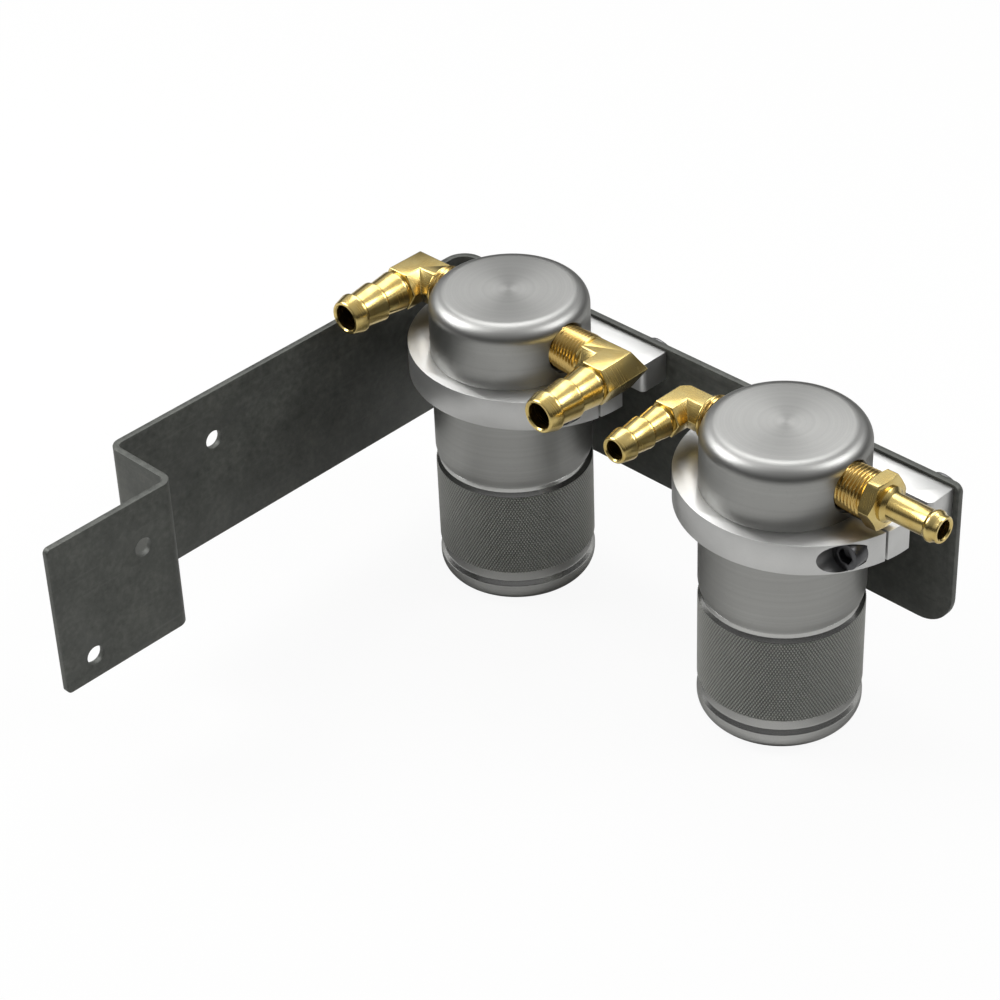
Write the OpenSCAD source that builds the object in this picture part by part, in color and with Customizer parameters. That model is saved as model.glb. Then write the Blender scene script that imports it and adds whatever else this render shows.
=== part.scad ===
// Twin oil catch cans on one folded bracket.
// Each can is a turned head with two side ports and a knurled cup that unscrews from below.
// A split clamp holds each can and is screwed to the bracket's long leg.
// Origin: axis of the left can at the height of its foot. +X runs along the long leg, +Z is up.

/* [Can] */
// Outer diameter of a can
can_d = 57.15; // [50:0.05:64]
// Height from the foot of the cup to the top of the lid
can_h = 117.6; // [108:0.1:128]
// Radius round the edge of the lid
lid_r = 6.5; // [3:0.5:8]
// Distance between the axes of the two cans
can_gap = 125.6; // [118:0.1:140]
// Wall of the head above the baffle
head_wall = 10; // [8:0.5:12]
// Wall of the body beside the mesh pad
body_wall = 7; // [6.5:0.25:8]
// Thickness of the lid over the head's hollow
roof = 6; // [3:0.5:7]
// Length of the narrow hollow in the head
head_hollow_l = 20; // [18:0.5:22]

/* [Cup] */
// Height of the cup, up to its joint with the body
cup_h = 51; // [46:0.5:56]
// Wall of the cup below its thread
cup_wall = 5.6; // [5:0.1:6.5]
// Thickness of the cup's floor
cup_floor = 5; // [3:0.5:8]
// Radius round the cup's foot
foot_r = 6.5; // [3:0.1:7.5]
// Height of the smooth ring at the foot
foot_h = 9.9; // [9.3:0.1:12]
// Height of the lower edge of the knurled band
knurl_z = 14.2; // [12.6:0.1:18]
// Depth of the knurled band's mean surface under the smooth rings
knurl_drop = 0.2; // [0.1:0.05:0.4]
// Height of the cup over the knurled band
rim_h = 3.3; // [2.6:0.1:5]
// Depth of the necks beside the knurled band
neck_in = 1.2; // [0.9:0.05:1.2]
// Height of the sloping shoulders at the necks
shoulder_h = 1.6; // [1:0.1:1.8]
// Height of the body's own part of the upper neck
body_neck_h = 1; // [0.5:0.1:2]
// Height of the taper at the body's lower edge
body_edge_h = 2.7; // [1:0.1:4]
// Depth of that taper
body_edge_in = 0.5; // [0.2:0.05:0.8]
// Diameter of the thread that joins cup and body
joint_d = 48.8; // [48:0.1:49.6]
// Length of the body's threaded spigot
joint_l = 11.5; // [9:0.5:14]
// Radial play of the thread
joint_play = 0.15; // [0.1:0.05:0.3]
// Free space under the spigot
joint_relief = 2.5; // [1:0.5:4]

/* [Seal] */
// Thickness of the seal ring in the cup's rim
seal_d = 1.5; // [1.2:0.05:1.55]
// Metal between the thread and the groove of the seal ring
seal_wall = 0.55; // [0.45:0.05:0.6]
// Play of the seal ring in its groove
seal_play = 0.05; // [0.02:0.01:0.08]

/* [Filter] */
// Thickness of the perforated baffle
baffle_t = 1.5; // [1:0.1:2.5]
// Diameter of a hole in the baffle
baffle_hole_d = 3; // [2:0.1:4]
// Distance between the rings of holes
baffle_step = 5.4; // [5:0.1:5.8]
// Rings of holes round the middle one
baffle_rings = 3; // [2:1:3]
// Height of the wire mesh pad
mesh_h = 20; // [12:1:24]
// Thickness of the ring that holds the pad
clip_t = 1.2; // [1:0.1:2]
// Width of that ring
clip_w = 3; // [2:0.25:4]
// Depth of the groove that holds the ring
clip_groove = 1; // [0.5:0.25:1.5]
// Angle of the ring's opening
clip_open = 40; // [20:5:80]

/* [Ports] */
// Depth of the port axes below the top of the lid
port_drop = 12.7; // [11:0.1:15]
// Diameter of the port thread
port_d = 17.1; // [13.7:0.1:18]
// Diameter of the relief round a port
port_relief_d = 18.7; // [18.4:0.1:20]
// Depth of the relief round a port
port_relief = 1.2; // [0.5:0.1:2]

/* [Clamp] */
// Height of the head that shows above the clamp
head_show = 23.9; // [21:0.1:28]
// Thickness of the clamp
clamp_t = 11.5; // [11:0.1:14]
// Metal of the clamp on each side of the can
clamp_side = 15.4; // [14.5:0.1:18]
// Metal of the clamp in front of the can
clamp_nose = 5.2; // [4:0.1:8]
// Metal between the can and the bracket
clamp_back = 4.85; // [4:0.05:8]
// Width of the slit
slit_w = 1; // [0.6:0.1:2]
// Thickness of the finger that the clamp screw pulls
finger_t = 9.8; // [8.8:0.1:10.6]
// Thickness of the ears on the bracket
ear_t = 12.2; // [11:0.1:14]
// Radius at the front corner of the right ear
ear_r = 2; // [0.5:0.25:4]
// Metal between the can and the notch behind the finger
notch_wall = 2.5; // [2:0.1:4]
// Radius in the corners of that notch
notch_r = 2.5; // [1:0.25:4]

/* [Clamp screw] */
// Thread diameter of the clamp screw
screw_d = 6; // [5:0.5:6]
// Length of its shank
screw_l = 15.5; // [13:0.5:16]
// Diameter of its head
screw_head_d = 10; // [9:0.1:10.2]
// Height of its head
screw_head_h = 6; // [5:0.1:7]
// Size across the flats of its socket
screw_hex = 5; // [4:0.5:6]
// Depth of its socket
screw_hex_l = 3; // [2:0.5:4]
// Radial play round its head
screw_head_play = 0.3; // [0.2:0.05:0.4]
// Radial play round its shank in front of the slit
screw_play = 0.3; // [0.2:0.05:0.5]
// Distance from the can's side to the screw's axis
screw_off = 7.5; // [7:0.1:8.5]
// Metal between the screw's seat and the slit
screw_seat = 6.8; // [5:0.1:8]

/* [Bracket screws] */
// Thread diameter of the bracket screws
bolt_d = 6; // [5:0.5:6]
// Grip of the bracket screws in the clamp
bolt_grip = 9.6; // [7:0.1:10.5]
// Diameter of the flange under the head
bolt_flange_d = 13.6; // [12:0.1:14]
// Thickness of the flange
bolt_flange_t = 1; // [0.8:0.1:1.5]
// Diameter of the head over the flange
bolt_head_d = 11; // [10:0.1:12]
// Height of the head over the flange
bolt_head_h = 2.6; // [2:0.1:3.5]
// Size across the flats of the socket
bolt_hex = 4; // [3:0.5:5]
// Depth of the socket
bolt_hex_l = 2; // [1.5:0.1:2.5]
// Distance from an ear's end to the screw's axis
bolt_edge = 6.5; // [6:0.1:8]
// Radial play of the screws in the bracket
bolt_play = 0.3; // [0.2:0.05:0.5]

/* [Bracket] */
// Height of the strip
strip_h = 59.7; // [52:0.1:66]
// Thickness of the strip
strip_t = 2.4; // [2:0.1:3]
// Height of the strip's top edge over the clamps
strip_over = 1.1; // [0.2:0.1:3]
// Inner radius of the fold between the legs
corner_r = 6; // [4:0.5:8]
// Inner radius of the folds of the jog
jog_r = 2.6; // [2:0.1:4]
// Distance from the left can's axis to the outer face of the short leg
leg_x = 59.2; // [57:0.1:66]
// Length of the long leg beyond the right can's axis
leg_over = 46.1; // [45:0.1:52]
// Distance from the back of the long leg to the far face of the jog
leg_l = 172.4; // [160:0.1:185]
// Sideways step of the jog
jog_w = 30.3; // [24:0.1:36]
// Length of the tab beyond the jog
tab_l = 52.2; // [46:0.1:60]
// Diameter of the fixing holes
hole_d = 7; // [6:0.1:8.4]
// Distance from the jog to the hole in the short leg
leg_hole = 44.2; // [36:0.1:52]
// Distance from the jog to the tab's upper hole
tab_hole = 13.7; // [12:0.1:16]
// Distance from the tab's end to its lower hole
tab_end_hole = 13.3; // [11:0.1:16]
// Distance from the top edge to the upper holes
hole_drop = 19.4; // [14:0.1:24]
// Distance from the bottom edge to the lower hole
hole_rise = 9.1; // [8:0.1:14]
// Corner radius at the bottom of the long leg
end_low_r = 13; // [8:0.5:16]
// Corner radius at the top of the long leg
end_top_r = 3; // [1:0.5:4]
// Corner radius at the end of the tab
tab_r = 2; // [1:0.5:4]

/* [Large elbows] */
// Number of barbs on a spout, on both sizes of elbow
barbs = 3; // [2:1:4]
// Length of a barb's rise, on both sizes of elbow
barb_rise = 1; // [0.6:0.1:1.4]
// Length of the groove between a body and its last barb, on both sizes of elbow
barb_neck = 0.8; // [0.4:0.1:1.6]
// Distance from the can's axis to the spout of the left can's left elbow
large_reach_in = 44.5; // [43:0.1:50]
// Distance from the can's axis to the spout of the left can's right elbow
large_reach_out = 49.8; // [44:0.1:52]
// Size across the flats of the body
large_af = 14.4; // [13.6:0.1:16]
// Length of the body from the crossing of its axes
large_leg = 11.4; // [10.4:0.1:13]
// Length of the port thread beyond the body
large_thread_l = 15.5; // [12:0.1:16]
// Distance from the port axis to the mouth of the spout
large_l = 38; // [36:0.1:44]
// Diameter of the crests of the spout
large_crest_d = 14.9; // [14:0.1:16]
// Diameter between the crests
large_root_d = 12.9; // [12:0.1:13.5]
// Diameter at the mouth
large_tip_d = 12.3; // [11.8:0.1:13]
// Distance from the mouth to the first crest
large_lead = 4.2; // [3:0.1:6]
// Width of the flat land on a crest
large_land = 0.8; // [0.4:0.1:1.5]
// Diameter of the bore of the spout
large_bore_d = 9.5; // [8.2:0.1:10.5]
// Diameter of the bore of the port thread
large_port_bore_d = 9.4; // [8:0.1:10.4]

/* [Small elbow] */
// Distance from the can's axis to the spout
small_reach = 43.2; // [41.5:0.1:48]
// Size across the flats of the body
small_af = 12; // [11.4:0.1:13.6]
// Length of the body from the crossing of its axes
small_leg = 11.4; // [10:0.1:12]
// How far the rounding of the outer corner stays off the body's outer edges
small_round_play = 0.6; // [0.3:0.1:1.2]
// Length of the port thread beyond the body
small_thread_l = 12.5; // [11:0.1:14]
// Distance from the port axis to the mouth of the spout
small_l = 36.2; // [34:0.1:42]
// Diameter of the crests of the spout
small_crest_d = 11.8; // [11:0.1:12.6]
// Diameter between the crests
small_root_d = 10; // [9.6:0.1:10.6]
// Diameter at the mouth
small_tip_d = 9.5; // [9.2:0.1:10]
// Distance from the mouth to the first crest
small_lead = 5.2; // [4:0.1:6]
// Width of the flat land on a crest
small_land = 0.7; // [0.4:0.1:1.5]
// Diameter of the bore of the spout
small_bore_d = 7; // [5.2:0.1:7.4]
// Diameter of the bore of the port thread
small_port_bore_d = 6.8; // [5:0.1:7.2]

/* [Straight fitting] */
// Length of its port thread
straight_thread_l = 14.7; // [12:0.1:17]
// Distance from the can's axis to its hexagon
straight_reach = 37.2; // [36:0.1:42]
// Size across the flats of the hexagon
straight_hex = 17.5; // [17.2:0.1:20]
// Length of the hexagon
straight_hex_l = 5.4; // [4.5:0.1:9]
// Diameter of the collar in front of the hexagon
straight_collar_d = 12.6; // [10.6:0.1:17]
// Length of the collar
straight_collar_l = 2; // [1:0.1:6]
// Diameter of the spout
straight_spout_d = 9.5; // [8.5:0.1:10.5]
// Length of the spout in front of the collar
straight_spout_l = 20; // [14:0.1:24]
// Diameter of the bead
straight_bead_d = 11.2; // [10.8:0.1:12.4]
// Length of the bead
straight_bead_l = 3.6; // [3:0.1:4.4]
// Length of the mouth in front of the bead
straight_lip_l = 1.8; // [1:0.1:3]
// Diameter of the bore
straight_bore_d = 6.6; // [5:0.1:7.4]

/* [Hidden] */
$fn = 96;

aluminium = [0.75, 0.75, 0.74];
cup_grey = [0.47, 0.48, 0.47];
dark_steel = [0.29, 0.30, 0.28];
bright_steel = [0.62, 0.63, 0.64];
brass = [0.80, 0.66, 0.33];
rubber = [0.08, 0.08, 0.08];

eps = 0.01;
over = 1;

can_r = can_d / 2;
head_r = can_r - head_wall;
body_r = can_r - body_wall;
joint_r = joint_d / 2;
hollow_top = can_h - roof;
shoulder_z = hollow_top - head_hollow_l;
spigot_z = cup_h - joint_l;
neck_r = can_r - neck_in;
seal_side = seal_d / 2 + seal_play;
seal_r = joint_r + joint_play + seal_wall + seal_side;
mesh_top = shoulder_z - baffle_t;
mesh_z = mesh_top - mesh_h;
clip_z = mesh_z - clip_t;
port_z = can_h - port_drop;

clamp_top = can_h - head_show;
clamp_z = clamp_top - clamp_t;
clamp_mid = clamp_z + clamp_t / 2;
clamp_half = can_r + clamp_side;
clamp_arc_y = clamp_half - can_r - clamp_nose;
stand_off = can_r + clamp_back;
notch_x = can_r + notch_wall;
notch_y = slit_w / 2 + finger_t;
notch_l = stand_off - ear_t - notch_y;
screw_x = can_r + screw_off;
seat_y = -slit_w / 2 - screw_seat;
bolt_x = clamp_half - bolt_edge;

strip_top = clamp_top + strip_over;
strip_z = strip_top - strip_h;
back_y = stand_off + strip_t;
end_x = can_gap + leg_over;
jog_y = back_y - leg_l;
tab_x = -leg_x + jog_w;
tab_y = jog_y - tab_l;

// A solid ring of the given radii and height
module ring(outer, inner, h) {
    difference() {
        cylinder(r = outer, h = h);
        translate([0, 0, -over]) cylinder(r = inner, h = h + 2 * over);
    }
}

// Half the section of a round post whose upper edge is rounded
module post_section(r, h, edge) {
    square([r, h - edge]);
    square([r - edge, h]);
    translate([r - edge, h - edge]) circle(r = edge);
}

// Half the section of the body: its part of the neck, the taper over it and the lid's round edge
module body_section() {
    taper_top = body_neck_h + body_edge_h;
    polygon([[0, 0], [neck_r, 0], [neck_r, body_neck_h], [can_r - body_edge_in, body_neck_h],
        [can_r, taper_top], [0, taper_top]]);
    translate([0, taper_top]) post_section(can_r, can_h - cup_h - taper_top, lid_r);
}

// Turned head and body of a can, with its spigot, hollow and ports
module can_body() {
    color(aluminium) difference() {
        union() {
            translate([0, 0, cup_h]) rotate_extrude() body_section();
            translate([0, 0, spigot_z]) cylinder(r = joint_r, h = joint_l + over);
        }
        translate([0, 0, spigot_z - over]) cylinder(r = body_r, h = shoulder_z - spigot_z + over);
        translate([0, 0, shoulder_z - over]) cylinder(r = head_r, h = hollow_top - shoulder_z + over);
        translate([0, 0, clip_z]) cylinder(r = body_r + clip_groove, h = clip_t);
        translate([-can_d, 0, port_z]) rotate([0, 90, 0]) cylinder(d = port_d, h = 2 * can_d);
        for (side = [0, 180]) rotate([0, 0, side])
            translate([can_r - port_relief, 0, port_z]) rotate([0, 90, 0])
                cylinder(d = port_relief_d, h = can_d);
    }
}

// Half the section of the cup over its foot: ring, neck, knurled band, shoulder and neck
module cup_section() {
    knurl_r = can_r - knurl_drop;
    knurl_top = cup_h - rim_h;
    polygon([[0, foot_r], [can_r, foot_r], [can_r, foot_h - shoulder_h], [neck_r, foot_h], [neck_r, knurl_z],
        [knurl_r, knurl_z], [knurl_r, knurl_top], [neck_r, knurl_top + shoulder_h], [neck_r, cup_h],
        [0, cup_h]]);
}

// Knurled cup that screws onto the spigot, with the groove for its seal
module cup() {
    foot_mid = foot_h - shoulder_h;
    color(cup_grey) difference() {
        union() {
            rotate_extrude() translate([0, foot_mid]) mirror([0, 1]) post_section(can_r, foot_mid, foot_r);
            rotate_extrude() cup_section();
        }
        translate([0, 0, cup_floor]) cylinder(r = can_r - cup_wall, h = cup_h);
        translate([0, 0, spigot_z - joint_relief]) cylinder(r = joint_r + joint_play, h = cup_h);
        translate([0, 0, cup_h - seal_d - 2 * seal_play])
            ring(seal_r + seal_side, seal_r - seal_side, seal_d + over);
    }
}

// Round rubber ring in the cup's rim
module seal() {
    color(rubber) translate([0, 0, cup_h - seal_d / 2 - 2 * seal_play])
        rotate_extrude() translate([seal_r, 0]) circle(d = seal_d, $fn = 32);
}

// Perforated disc against the shoulder of the head
module baffle() {
    color(bright_steel) translate([0, 0, mesh_top]) difference() {
        cylinder(r = body_r, h = baffle_t);
        translate([0, 0, -over]) cylinder(d = baffle_hole_d, h = baffle_t + 2 * over, $fn = 24);
        for (k = [1 : baffle_rings]) for (i = [0 : 6 * k - 1])
            rotate([0, 0, 60 * i / k]) translate([k * baffle_step, 0, -over])
                cylinder(d = baffle_hole_d, h = baffle_t + 2 * over, $fn = 24);
    }
}

// Pad of wire mesh under the baffle
module mesh_pad() {
    color(bright_steel) translate([0, 0, mesh_z]) cylinder(r = body_r, h = mesh_h);
}

// Open spring ring that holds the pad
module retaining_ring() {
    color(bright_steel) translate([0, 0, clip_z]) rotate([0, 0, 90 + clip_open / 2])
        rotate_extrude(angle = 360 - clip_open)
            translate([body_r + clip_groove - clip_w, 0]) square([clip_w, clip_t]);
}

// Half-round split clamp with a flat back and two ears, seen from above in its own plane
module clamp_plan() {
    difference() {
        union() {
            translate([0, clamp_arc_y]) circle(r = clamp_half);
            translate([-clamp_half, clamp_arc_y]) square([2 * clamp_half, stand_off - clamp_arc_y]);
        }
        translate([-can_d, stand_off]) square([2 * can_d, can_d]);
        circle(r = can_r);
        translate([0, -slit_w / 2]) square([can_d, slit_w]);
        for (y = [notch_y + notch_r, notch_y + notch_l - notch_r])
            translate([notch_x + notch_r, y]) circle(r = notch_r, $fn = 32);
        translate([notch_x + notch_r, notch_y]) square([can_d, notch_l]);
        translate([notch_x, notch_y + notch_r]) square([can_d, notch_l - 2 * notch_r]);
        translate([clamp_half - ear_r, stand_off - ear_t + ear_r]) difference() {
            translate([0, -ear_r - over]) square(ear_r + over);
            circle(r = ear_r, $fn = 32);
        }
    }
}

module clamp() {
    color(aluminium) difference() {
        translate([0, 0, clamp_z]) linear_extrude(clamp_t) clamp_plan();
        translate([screw_x, seat_y, clamp_mid]) rotate([90, 0, 0])
            cylinder(d = screw_head_d + 2 * screw_head_play, h = can_d);
        translate([screw_x, 0, clamp_mid]) rotate([90, 0, 0])
            cylinder(d = screw_d + 2 * screw_play, h = screw_seat + slit_w);
        translate([screw_x, notch_y + over, clamp_mid]) rotate([90, 0, 0])
            cylinder(d = screw_d, h = finger_t + over + slit_w / 2);
        for (x = [-bolt_x, bolt_x]) translate([x, stand_off + over, clamp_mid]) rotate([90, 0, 0])
            cylinder(d = bolt_d, h = bolt_grip + over);
    }
}

// Socket-headed screw that closes the slit
module clamp_screw() {
    color(dark_steel) translate([screw_x, seat_y, clamp_mid]) rotate([90, 0, 0]) difference() {
        union() {
            cylinder(d = screw_head_d, h = screw_head_h);
            translate([0, 0, -screw_l]) cylinder(d = screw_d, h = screw_l + over);
        }
        translate([0, 0, screw_head_h - screw_hex_l])
            cylinder(d = screw_hex / cos(30), h = screw_hex_l + over, $fn = 6);
    }
}

// Two flanged screws that hold a clamp to the bracket from behind
module bracket_screws() {
    color(bright_steel) for (x = [-bolt_x, bolt_x])
        translate([x, back_y, clamp_mid]) rotate([-90, 0, 0]) difference() {
            union() {
                cylinder(d = bolt_flange_d, h = bolt_flange_t);
                cylinder(d = bolt_head_d, h = bolt_flange_t + bolt_head_h / 2);
                translate([0, 0, bolt_flange_t + bolt_head_h / 2])
                    cylinder(d1 = bolt_head_d, d2 = bolt_head_d - bolt_head_h, h = bolt_head_h / 2);
                translate([0, 0, -strip_t - bolt_grip])
                    cylinder(d = bolt_d, h = strip_t + bolt_grip + over / 2);
            }
            translate([0, 0, bolt_flange_t + bolt_head_h - bolt_hex_l])
                cylinder(d = bolt_hex / cos(30), h = bolt_hex_l + over, $fn = 6);
        }
}

// Quarter of the folded strip seen from above: centre, quadrant and inner radius
module fold(centre, turn, r) {
    translate(centre) rotate(turn) intersection() {
        difference() {
            circle(r = r + strip_t);
            circle(r = r);
        }
        square(r + strip_t + over);
    }
}

// The strip seen from above: long leg, fold, short leg, jog and tab
module strip_plan() {
    corner = corner_r + strip_t;
    bend = jog_r + strip_t;
    translate([-leg_x + corner, stand_off]) square([end_x + leg_x - corner, strip_t]);
    fold([-leg_x + corner, back_y - corner], 90, corner_r);
    translate([-leg_x, jog_y + bend]) square([strip_t, leg_l - corner - bend]);
    fold([-leg_x + bend, jog_y + bend], 180, jog_r);
    translate([-leg_x + bend, jog_y]) square([jog_w + strip_t - 2 * bend, strip_t]);
    fold([tab_x + strip_t - bend, jog_y + strip_t - bend], 0, jog_r);
    translate([tab_x, tab_y]) square([strip_t, tab_l + strip_t - bend]);
}

// What a rounded corner takes off: a square block less its inscribed round, along +Z
module corner_waste(r) {
    difference() {
        translate([0, 0, -over]) cube([r + over, r + over, strip_t + 2 * over]);
        translate([0, 0, -2 * over]) cylinder(r = r, h = strip_t + 4 * over);
    }
}

module fixing_hole(x, y, z) {
    translate([x - over, y, z]) rotate([0, 90, 0]) cylinder(d = hole_d, h = strip_t + 2 * over);
}

module bracket() {
    color(dark_steel) difference() {
        translate([0, 0, strip_z]) linear_extrude(strip_h) strip_plan();
        translate([end_x - end_top_r, back_y, strip_top - end_top_r]) rotate([90, 0, 0])
            corner_waste(end_top_r);
        translate([end_x - end_low_r, stand_off, strip_z + end_low_r]) rotate([-90, 0, 0])
            corner_waste(end_low_r);
        translate([tab_x + strip_t, tab_y + tab_r, strip_top - tab_r]) rotate([90, 0, -90])
            corner_waste(tab_r);
        translate([tab_x, tab_y + tab_r, strip_z + tab_r]) rotate([-90, 0, -90])
            corner_waste(tab_r);
        fixing_hole(-leg_x, jog_y + leg_hole, strip_top - hole_drop);
        fixing_hole(tab_x, jog_y - tab_hole, strip_top - hole_drop);
        fixing_hole(tab_x, tab_y + tab_end_hole, strip_z + hole_rise);
        for (can = [0, can_gap]) for (x = [-bolt_x, bolt_x])
            translate([can + x, back_y + over, clamp_mid]) rotate([90, 0, 0])
                cylinder(d = bolt_d + 2 * bolt_play, h = strip_t + 2 * over);
    }
}

// Six-sided bar along +X, with a flat on top
module hex_bar(af, l) {
    flat = af / 2;
    edge = flat * tan(30);
    rotate([90, 0, 90]) linear_extrude(l) polygon([[2 * edge, 0], [edge, flat], [-edge, flat],
        [-2 * edge, 0], [-edge, -flat], [edge, -flat]]);
}

// Mitred body of an elbow: one leg comes from -X, the other leaves to -Y
module elbow_body(af, leg) {
    far = af + leg;
    intersection() {
        translate([-leg, 0, 0]) hex_bar(af, far);
        linear_extrude(2 * af, center = true) polygon([[-far, -far], [far, far], [-far, far]]);
    }
    intersection() {
        rotate(90) translate([-leg, 0, 0]) hex_bar(af, far);
        linear_extrude(2 * af, center = true) polygon([[-far, -far], [far, far], [far, -far]]);
    }
}

// Hose spout along +Z from the face of its body: barbs with a short rise, a flat land and a long
// fall, shared out between the groove at the body and the mouth
module spout(l, root, crest, tip, lead, land) {
    first = l - lead - land - barb_rise;
    pitch = (first - barb_neck) / (barbs - 1);
    rises = [for (i = [barbs - 1:-1:0]) first - i * pitch];
    ridges = [for (z = rises) each [[root / 2, z], [crest / 2, z + barb_rise],
        [crest / 2, z + barb_rise + land]]];
    rotate_extrude() polygon(concat([[0, 0], [root / 2, 0]], ridges, [[tip / 2, l], [0, l]]));
}

// Elbow with its axes crossing at the origin: port thread to -X, spout to -Y
module large_elbow() {
    color(brass) difference() {
        union() {
            elbow_body(large_af, large_leg);
            translate([-large_leg - large_thread_l, 0, 0]) rotate([0, 90, 0])
                cylinder(d = port_d, h = large_thread_l + eps);
            translate([0, -large_leg + eps, 0]) rotate([90, 0, 0])
                spout(large_l - large_leg + eps, large_root_d, large_crest_d, large_tip_d, large_lead,
                    large_land);
        }
        translate([-large_leg - large_thread_l - over, 0, 0]) rotate([0, 90, 0])
            cylinder(d = large_port_bore_d, h = large_leg + large_thread_l + over);
        translate([0, large_bore_d / 4, 0]) rotate([90, 0, 0])
            cylinder(d = large_bore_d, h = large_l + large_bore_d / 4 + over);
    }
}

// Smaller elbow whose outer corner is rounded off
module small_elbow() {
    round_r = small_leg + small_af / 2 / cos(30) + small_round_play;
    color(brass) difference() {
        union() {
            intersection() {
                elbow_body(small_af, small_leg);
                translate([-small_leg, -small_leg, 0])
                    cylinder(r = round_r, h = 2 * small_af, center = true);
            }
            translate([-small_leg - small_thread_l, 0, 0]) rotate([0, 90, 0])
                cylinder(d = port_d, h = small_thread_l + eps);
            translate([0, -small_leg + eps, 0]) rotate([90, 0, 0])
                spout(small_l - small_leg + eps, small_root_d, small_crest_d, small_tip_d, small_lead,
                    small_land);
        }
        translate([-small_leg - small_thread_l - over, 0, 0]) rotate([0, 90, 0])
            cylinder(d = small_port_bore_d, h = small_leg + small_thread_l + over);
        translate([0, small_bore_d / 4, 0]) rotate([90, 0, 0])
            cylinder(d = small_bore_d, h = small_l + small_bore_d / 4 + over);
    }
}

// Half the section of the straight fitting's round parts, from the hexagon's front face
module straight_section() {
    bead_x = straight_collar_l + straight_spout_l - straight_lip_l - straight_bead_l;
    polygon([[0, 0], [straight_collar_d / 2, 0], [straight_collar_d / 2, straight_collar_l / 2],
        [straight_spout_d / 2, straight_collar_l],
        [straight_spout_d / 2, bead_x],
        [straight_bead_d / 2, bead_x + straight_bead_l / 3],
        [straight_bead_d / 2, bead_x + straight_bead_l * 2 / 3],
        [straight_spout_d / 2, bead_x + straight_bead_l],
        [straight_spout_d / 2, straight_collar_l + straight_spout_l],
        [0, straight_collar_l + straight_spout_l]]);
}

// Straight fitting along +X, with its hexagon starting at the origin
module straight_fitting() {
    total = straight_thread_l + straight_hex_l + straight_collar_l + straight_spout_l;
    color(brass) rotate([0, 90, 0]) difference() {
        union() {
            translate([0, 0, -straight_thread_l]) cylinder(d = port_d, h = straight_thread_l + eps);
            rotate(30) cylinder(d = straight_hex / cos(30), h = straight_hex_l, $fn = 6);
            translate([0, 0, straight_hex_l - eps]) rotate_extrude() straight_section();
        }
        translate([0, 0, -straight_thread_l - over]) cylinder(d = straight_bore_d, h = total + 2 * over);
    }
}

module at_right() {
    translate([can_gap, 0, 0]) children();
}

module left_inlet_elbow() {
    translate([-large_reach_in, 0, port_z]) mirror([1, 0, 0]) large_elbow();
}

module left_outlet_elbow() {
    translate([large_reach_out, 0, port_z]) large_elbow();
}

module right_inlet_elbow() {
    translate([can_gap - small_reach, 0, port_z]) mirror([1, 0, 0]) small_elbow();
}

module right_outlet_fitting() {
    translate([can_gap + straight_reach, 0, port_z]) straight_fitting();
}

bracket();
can_body();  // left_body
cup();  // left_cup
seal();  // left_seal
baffle();  // left_baffle
mesh_pad();  // left_mesh_pad
retaining_ring();  // left_retaining_ring
clamp();  // left_clamp
clamp_screw();  // left_clamp_screw
bracket_screws();  // left_bracket_screws
left_inlet_elbow();
left_outlet_elbow();
at_right() can_body();  // right_body
at_right() cup();  // right_cup
at_right() seal();  // right_seal
at_right() baffle();  // right_baffle
at_right() mesh_pad();  // right_mesh_pad
at_right() retaining_ring();  // right_retaining_ring
at_right() clamp();  // right_clamp
at_right() clamp_screw();  // right_clamp_screw
at_right() bracket_screws();  // right_bracket_screws
right_inlet_elbow();
right_outlet_fitting();
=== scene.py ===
import math

import bmesh
import bpy
from mathutils import Matrix, Vector


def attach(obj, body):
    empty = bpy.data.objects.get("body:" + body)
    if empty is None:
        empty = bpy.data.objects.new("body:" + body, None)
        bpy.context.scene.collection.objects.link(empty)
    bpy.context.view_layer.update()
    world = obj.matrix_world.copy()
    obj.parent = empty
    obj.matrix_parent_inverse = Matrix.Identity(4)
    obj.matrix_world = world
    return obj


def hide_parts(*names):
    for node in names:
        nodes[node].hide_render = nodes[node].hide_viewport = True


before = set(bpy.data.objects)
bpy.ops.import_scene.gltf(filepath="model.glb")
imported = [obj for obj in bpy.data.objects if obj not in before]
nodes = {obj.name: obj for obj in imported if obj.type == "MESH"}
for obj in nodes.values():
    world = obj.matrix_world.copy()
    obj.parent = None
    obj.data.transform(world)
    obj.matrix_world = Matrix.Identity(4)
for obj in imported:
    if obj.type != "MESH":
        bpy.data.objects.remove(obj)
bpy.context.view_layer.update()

MM = 0.001
ROOT = "can_assembly"

# Sizes of the solids, in millimetres, with heights over the foot
CAN_R, CAN_H = 28.575, 117.6
CAN_X = {"left": 0.0, "right": 125.6}
LID_R = 6.5
HEAD_R, BODY_R = 18.575, 21.575
ROOF_Z, SHOULDER_Z = 111.6, 91.6
CLIP_R, CLIP_Z0, CLIP_Z1 = 22.575, 68.9, 70.1
SPIGOT_R, SPIGOT_Z = 24.35, 39.5
NECK_R = 27.375
CUP_H = 51.0
CUP_BORE_R, CUP_FLOOR = 22.975, 5.0
CUP_THREAD_R, CUP_THREAD_Z = 24.55, 37.0
FOOT_R = 6.5
SEAL_IN_R, SEAL_OUT_R, SEAL_Z = 25.1, 26.7, 49.4
PORT_Z, PORT_R, PORT_MOUTH_R = 104.9, 8.55, 9.0
RELIEF_R, RELIEF_X = 9.35, CAN_R - 1.2
CLAMP_MID, CLAMP_SCREW_X, CLAMP_SEAT_Y = 87.95, 36.075, -7.3
COUNTERBORE_R = 5.3

scene = bpy.context.scene
scene.view_settings.view_transform = "Standard"


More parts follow.
